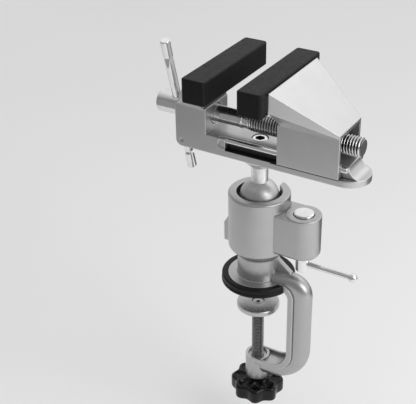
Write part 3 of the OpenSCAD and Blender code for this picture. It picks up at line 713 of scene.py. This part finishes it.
def make_lead_screw():
    """Head with the bar's bore, shank with its stop bead, and the long thread."""
    bm = bmesh.new()
    add_turned(bm, rod(HEAD_R, HEAD_ENDS, (1.0, 0.4)), SCREW_AXIS)
    head = solid("head_part", bm)
    cut(head, prism("bore", 64, 2 * BAR_R + 0.16, (-20, 20), BAR_AXIS))
    bm = bmesh.new()
    bm.from_mesh(head.data)
    bpy.data.objects.remove(head)
    shank, start = HEAD_ENDS[1] - 1, THREAD_ENDS[0]
    bead, groove = SHANK_R + 0.35, SHANK_R - 0.25
    add_turned(bm, [
        (0, shank, 0), (SHANK_R, shank, 0), (SHANK_R, start - 3.4, 0.1),
        (bead, start - 3.0, 0.2), (bead, start - 2.0, 0.2),
        (groove, start - 1.5, 0.2), (groove, start + 0.6, 0), (0, start + 0.6, 0)], SCREW_AXIS)
    add_thread(
        bm, SCREW_AXIS, THREAD_ENDS, SCREW_R, SCREW_TURN, SHANK_R - 0.2, 3 * SCREW_TURN, 1.1)
    finish(solid("screw_with_head", bm), "lead_screw", 32)


def make_tee_bar():
    """Bar whose ends are swaged square into its two caps."""
    rod_end = BAR_HALF - CAP_L - NECK_L
    upper = [(rod_end + NECK_L * t, 1 - 0.34 * t) for t in (0, 0.05, 0.2, 0.4, 0.6, 0.8, 1.0)]
    bm = bmesh.new()
    rings = []
    for height, flat in [(-height, flat) for height, flat in reversed(upper)] + upper:
        def place(angle):
            """A corner of the round bar, cut flat on four sides."""
            facet = max(abs(math.cos(angle)), abs(math.sin(angle)))
            return BAR_AXIS @ (polar(BAR_R * min(1, flat / facet), angle, height) * MM)

        rings.append(ring_of(bm, 64, place))
    loft(bm, rings)
    for ring in (rings[0], rings[-1]):
        bm.faces.new(ring)
    finish(solid("sliding_bar", bm), "tee_bar", 22)

    bm = bmesh.new()
    low = BAR_HALF - CAP_L
    for turn in (BAR_AXIS, BAR_AXIS @ FLIP):
        add_turned(bm, [
            (0, low, 0), (CAP_R - 0.2, low, 0.25), (CAP_R, BAR_HALF, 0.7), (0, BAR_HALF, 0)], turn)
    finish(solid("bar_end_caps", bm), "tee_bar_caps", 35)


def make_rods():
    """The two round rods along the rail."""
    bm = bmesh.new()
    for side in (-1, 1):
        turn = Matrix.Translation((0, side * ROD_Y * MM, ROD_Z * MM)) @ SIDEWAYS
        add_turned(bm, rod(ROD_R, ROD_ENDS, (0.3, 0.5)), turn, 48)
    finish(solid("slide_rods", bm), "guide_rods", 35)


def make_clamp():
    """Threaded spindle, its pad, and the small screw that keeps the pad on."""
    bm = bmesh.new()
    add_thread(bm, UPRIGHT, CLAMP_ENDS, CLAMP_R, CLAMP_TURN, CLAMP_R - 0.5, 0, 0.8, 48)
    tip = CLAMP_ENDS[1]
    add_turned(bm, rod(SPIGOT_R, (tip - 1, tip + 2), (0, 0.3)), UPRIGHT, 48)
    finish(solid("spindle_thread", bm), "clamp_screw", 32)

    top = PRESS_FACE
    bore, hub, recess = SPIGOT_R + 0.05, 6.5, 4.2
    turned("pressure_disc", "pressure_pad", [
        (1.7, top - 5, 0), (bore, top - 4.2, 0), (bore, top - 8, 0), (hub - 0.3, top - 8, 0.3),
        (hub, top - 7.6, 0.3), (hub, top - 4, 0.8), (PRESS_R - 0.8, top - 4, 0.4),
        (PRESS_R, top - 3.2, 0.4), (PRESS_R, top - 0.5, 0.4), (PRESS_R - 0.5, top, 0.3),
        (recess, top, 0.2), (recess, top - 2, 0), (1.7, top - 2, 0)], UPRIGHT)
    key_screw("disc_screw", "pad_screw", [
        (0, top - 10.2, 0), (1.4, top - 10.2, 0.2), (1.4, top - 1.95, 0),
        (3.9, top - 1.95, 0.1), (3.9, top - 0.7, 0.3), (0, top - 0.7, 0)], 2.5, 0.9)


def make_bed_screw():
    """The screw in the bed that holds the head on its stud."""
    top = CAP_SCREW_TOP
    seat = top - 6
    key_screw("bed_screw", "stud_screw", [
        (0, PLATE_Z - 12, 0), (2.7, PLATE_Z - 12, 0), (3.0, PLATE_Z - 11.5, 0), (3.0, seat, 0),
        (4.8, seat, 0.1), (4.8, top, 0.6), (0, top, 0)], 5.5, 3)


def make_foot_ring():
    """Rubber cup with a lip round its foot, cut back where the arm goes down."""
    bm = bmesh.new()
    add_turned(bm, [
        (0, 0, 0), (FOOT_R - 1.4, 0, 0.4), (FOOT_R, 0.7, 0.5), (FOOT_R, 2.1, 0.3),
        (FOOT_R - 0.5, 2.5, 0.2), (FOOT_R - 0.3, 3.0, 0.3), (FOOT_R - 0.2, 5.3, 0.5),
        (FOOT_R - 0.9, 6.2, 0.6), (PLATE_R, 6.2, 0.3), (PLATE_R, 2, 0), (0, 2, 0)], UPRIGHT, 128)
    obj = solid("foot_ring", bm)
    side, out, up = ARM_GAP, 2 * FOOT_R, 8
    for low in ((17.8, -side, -1), (0, -side, 2)):
        cut(obj, box("gap", low, (out, side, up)))
    finish(obj, "foot_pad", 35)


def make_knob():
    """Knob whose lobes have rounded edges and a scooped pocket each."""
    low, high = KNOB_ENDS
    count = KNOB_LOBES * 24
    quarter = [step * math.pi / 12 for step in range(7)]

    def outline(angle, inset):
        """Radius of the lobed outline, moved in by inset."""
        wave = KNOB_WAVE * max(1 - inset / 8, 0)
        return KNOB_R - KNOB_WAVE - inset - wave * math.cos(KNOB_LOBES * angle)

    def top_height(radius, angle):
        """Height of the top, with a pocket in each lobe and a collar round the middle."""
        lobe = (angle * KNOB_LOBES / (2 * math.pi)) % 1 - 0.5
        across = lobe * 2 * math.pi / KNOB_LOBES * radius
        along = (radius - 11.4) / 4.3
        reach = along ** 2 + (across / (3.3 + 1.3 * along)) ** 2
        pocket = 2.0 * max(1 - reach, 0) ** 0.6
        collar = 0.5 * min(max((7.4 - radius) / 0.7, 0), 1)
        return high - pocket + collar

    bm = bmesh.new()
    rings = [[bm.verts.new(Vector((0, 0, (low + 0.6) * MM)))]]
    side = [(11.0, low + 0.6), (9.6, low + 0.6), (9.0, low), (KNOB_EDGE, low)]
    side += [
        (KNOB_EDGE * (1 - math.sin(a)), low + KNOB_EDGE * (1 - math.cos(a))) for a in quarter[1:]]
    side += [(KNOB_EDGE * (1 - math.cos(a)), high - KNOB_EDGE * (1 - math.sin(a))) for a in quarter]
    for inset, height in side:
        rings.append(
            ring_of(bm, count, lambda angle: polar(outline(angle, inset), angle, height) * MM))
    steps = 33
    for step in range(1, steps + 1):
        def place(angle):
            """A corner of the top, from its rim in to the screw."""
            rim = outline(angle, KNOB_EDGE)
            radius = rim + (CLAMP_R + 0.2 - rim) * step / steps
            return polar(radius, angle, top_height(radius, angle)) * MM

        rings.append(ring_of(bm, count, place))
    rings.append([bm.verts.new(Vector((0, 0, (high + 0.2) * MM)))])
    loft(bm, rings)
    finish(solid("lobed_knob", bm), "clamp_knob", 50)


# Studio

def make_card(name, place, size, facing, glow):
    """Grey card, half as wide and high as size says, seen in reflections only."""
    bm = bmesh.new()
    bmesh.ops.create_grid(bm, x_segments=1, y_segments=1, size=1)
    card = new_object(name, bm)
    card.scale = (*size, 1)
    card.location = place
    card.rotation_euler = Vector(facing).to_track_quat("Z", "Y").to_euler()
    nodes = Nodes(name)
    nodes.shader.inputs["Base Color"].default_value = (0, 0, 0, 1)
    nodes.shader.inputs["Specular IOR Level"].default_value = 0
    nodes.shader.inputs["Emission Color"].default_value = (1, 1, 1, 1)
    nodes.shader.inputs["Emission Strength"].default_value = glow
    card.data.materials.append(nodes.material)
    card.visible_camera = card.visible_diffuse = False
    card.visible_shadow = card.visible_transmission = False


def make_floor():
    """Pale floor, low enough for the knob at the end of its travel, and two grey cards that only
    shiny faces mirror: one in front on the left, one flat behind the object."""
    travel = JOINTS["press_slide"]["range_m"][0]
    floor_z = cad_low[2] + travel - 0.3 * MM
    bm = bmesh.new()
    bmesh.ops.create_grid(bm, x_segments=8, y_segments=8, size=3)
    floor = new_object("floor", bm)
    floor.location.z = floor_z
    nodes = Nodes("floor")
    nodes.shade(nodes.noise(3, 2), (0.94, 0.94, 0.94), 0.99, 1.01)
    nodes.shader.inputs["Roughness"].default_value = 0.9
    nodes.shader.inputs["Specular IOR Level"].default_value = 0.1
    floor.data.materials.append(nodes.material)
    make_card("front_card", (-0.16, -0.25, cad_low[2] + 0.15), (0.34, 0.14), (0.52, 0.85, 0), 0.3)
    make_card("back_card", (0.05, 0.62, floor_z + 1 * MM), (0.8, 0.4), (0, 0, 1), 0.12)


def make_light(name, place, size, power, target=(0, 0, 0.06)):
    """Soft lamp, as wide and high as size says, that the camera doesn't see."""
    data = bpy.data.lights.new(name, "AREA")
    data.shape = "RECTANGLE"
    data.size, data.size_y = size
    data.energy = power
    light = bpy.data.objects.new(name, data)
    scene.collection.objects.link(light)
    light.location = place
    aim = Vector(target) - Vector(place)
    light.rotation_euler = aim.to_track_quat("-Z", "Y").to_euler()
    light.visible_camera = False


def make_world():
    """Soft studio surroundings: bright behind and above, grey in front."""
    world = bpy.data.worlds.new("studio")
    world.use_nodes = True
    tree = world.node_tree
    background = tree.nodes["Background"]
    place = tree.nodes.new("ShaderNodeTexCoord")
    towards = tree.nodes.new("ShaderNodeVectorMath")
    towards.operation = "DOT_PRODUCT"
    towards.inputs[1].default_value = (0.05, 0.75, 0.66)
    tree.links.new(place.outputs["Generated"], towards.inputs[0])
    spread = tree.nodes.new("ShaderNodeMapRange")
    spread.inputs["From Min"].default_value = -1
    tree.links.new(towards.outputs["Value"], spread.inputs["Value"])
    ramp = tree.nodes.new("ShaderNodeValToRGB")
    for stop, position, level in zip(ramp.color_ramp.elements, (0.4, 0.85), (0.25, 0.9)):
        stop.position = position
        stop.color = (level, level, level, 1)
    tree.links.new(spread.outputs["Result"], ramp.inputs["Fac"])
    tree.links.new(ramp.outputs["Color"], background.inputs["Color"])
    background.inputs["Strength"].default_value = 1.0
    scene.world = world


make_camera()
scene.view_settings.view_transform = "Standard"
materials = make_materials()
for node_name, node in NODES.items():
    node.data.materials.clear()
    node.data.materials.append(materials[SLOT_OF[node_name]])
make_floor()
make_world()
make_light("back", (0.32, 0.9, 0.85), (0.6, 0.45), 0.6)
make_light("key", (0.75, -0.1, 0.42), (0.5, 0.6), 2.7, (0.2, -0.12, -0.09))

cast("frame_casting", "clamp_frame", 0.26 * MM)
cast("bed_casting", "vise_body", 0.25 * MM)
cast("jaw_casting", "moving_jaw", 0.25 * MM)
edged("fixed_pad", "fixed_jaw_pad", 0.9 * MM, 4, False)
edged("moving_pad", "moving_jaw_pad", 0.9 * MM, 4, False)
make_foot_ring()
edged("nut_block", "jaw_nut", 0.3 * MM)
edged("collar_ring", "ball_collar", 0.15 * MM, 2)
edged("wedge_cone", "lock_wedge", 0.15 * MM, 2)
edged("pin", "brake_pin", 0.3 * MM)
edged("screw_washer", "thrust_washer", 0.2 * MM, 2)
edged("stop_ring", "retaining_ring", 0.15 * MM, 2)
make_ball_stud()
make_lock()
make_lead_screw()
make_tee_bar()
make_rods()
make_clamp()
make_knob()
make_bed_screw()
